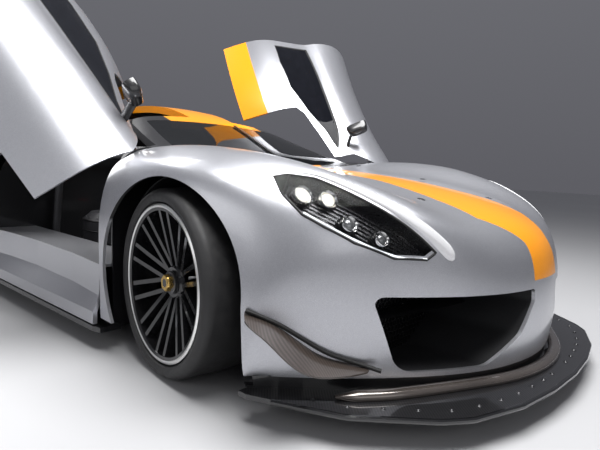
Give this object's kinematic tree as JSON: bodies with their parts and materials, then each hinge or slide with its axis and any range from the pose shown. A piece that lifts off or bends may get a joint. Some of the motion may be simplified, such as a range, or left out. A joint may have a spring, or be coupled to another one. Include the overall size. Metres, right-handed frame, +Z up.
{
  "type": "supercar",
  "caption": "Low closed-cockpit mid-engined racing coupe with up-swinging doors, splitter, nose blades, rear wing and diffuser.",
  "frame": {"origin": "on the ground under the car's middle, half-way along its length", "axes": "+X towards the nose, +Y to the car's left, +Z up; both doors stored open"},
  "size_m": [4.62, 3.1212, 1.6847],
  "materials": {
    "silver_paint": "metallic clear coat over carbon-fibre laminate",
    "carbon": "lacquered carbon-fibre weave",
    "clear_glass": "clear, lightly tinted",
    "red_lens": "clear red",
    "black_trim": "satin black",
    "tyre_rubber": "slick, matt",
    "wheel_alloy": "gloss black spokes with a bare flange ring",
    "brake_iron": "machined",
    "cast_alloy": "cast",
    "steel_tube": "satin black paint",
    "cloth": "woven, matt"
  },
  "bodies": {
    "chassis": {"canards": "carbon", "dashboard": "carbon", "diffuser": "carbon", "energy_store": "cast_alloy", "engine": "cast_alloy", "engine_hatch": "silver_paint", "exhausts": "steel_tube", "front_clam": "silver_paint", "front_ducts": "carbon", "headlamp_lenses": "clear_glass", "headlamp_units": "black_trim", "outlet_meshes": "black_trim", "radiators": "cast_alloy", "rear_clam": "silver_paint", "rear_frame": "steel_tube", "rear_wing": "carbon", "roll_hoop": "steel_tube", "roof_frame": "silver_paint", "seat": "cloth", "side_sills": "silver_paint", "side_skirts": "carbon", "splitter": "carbon", "steering_wheel": "cloth", "tail_lamps": "red_lens", "tub": "carbon", "uprights_rear": "cast_alloy", "wheel_wells": "carbon", "windscreen": "clear_glass", "wing_pylons": "carbon", "wiper": "black_trim", "wishbones": "steel_tube"},
    "door_left": {"door_left": "silver_paint", "door_window_left": "clear_glass", "mirror_left": "black_trim"},
    "door_right": {"door_right": "silver_paint", "door_window_right": "clear_glass", "mirror_right": "black_trim"},
    "knuckle_fl": {"upright_fl": "cast_alloy"},
    "knuckle_fr": {"upright_fr": "cast_alloy"},
    "wheel_fl": {"tyre_fl": "tyre_rubber", "rim_fl": "wheel_alloy", "brake_disc_fl": "brake_iron"},
    "wheel_fr": {"tyre_fr": "tyre_rubber", "rim_fr": "wheel_alloy", "brake_disc_fr": "brake_iron"},
    "wheel_rl": {"tyre_rl": "tyre_rubber", "rim_rl": "wheel_alloy", "brake_disc_rl": "brake_iron"},
    "wheel_rr": {"tyre_rr": "tyre_rubber", "rim_rr": "wheel_alloy", "brake_disc_rr": "brake_iron"}
  },
  "joints": [
    {"name": "door_left_swing", "type": "hinge", "parent": "chassis", "child": "door_left", "pos_m": [0.8281, 0.7724, 0.7616], "axis": [0.6408, 0.5388, -0.5468], "range_deg": [-69, 0]},
    {"name": "door_right_swing", "type": "hinge", "parent": "chassis", "child": "door_right", "pos_m": [0.8281, -0.7724, 0.7616], "axis": [0.6408, -0.5388, -0.5468], "range_deg": [0, 69]},
    {"name": "steer_fl", "type": "hinge", "parent": "chassis", "child": "knuckle_fl", "pos_m": [1.27, 0.745, 0.325], "axis": [0, 0, 1], "range_deg": [-8, 24]},
    {"name": "steer_fr", "type": "hinge", "parent": "chassis", "child": "knuckle_fr", "pos_m": [1.27, -0.745, 0.325], "axis": [0, 0, 1], "range_deg": [-8, 24]},
    {"name": "spin_fl", "type": "hinge", "parent": "knuckle_fl", "child": "wheel_fl", "pos_m": [1.28183, 0.82917, 0.325], "axis": [0.1392, 0.9903, 0], "continuous": true},
    {"name": "spin_fr", "type": "hinge", "parent": "knuckle_fr", "child": "wheel_fr", "pos_m": [1.25817, -0.82917, 0.325], "axis": [0.1392, 0.9903, 0], "continuous": true},
    {"name": "spin_rl", "type": "hinge", "parent": "chassis", "child": "wheel_rl", "pos_m": [-1.46, 0.807, 0.355], "axis": [0, 1, 0], "continuous": true},
    {"name": "spin_rr", "type": "hinge", "parent": "chassis", "child": "wheel_rr", "pos_m": [-1.46, -0.807, 0.355], "axis": [0, 1, 0], "continuous": true}
  ]
}
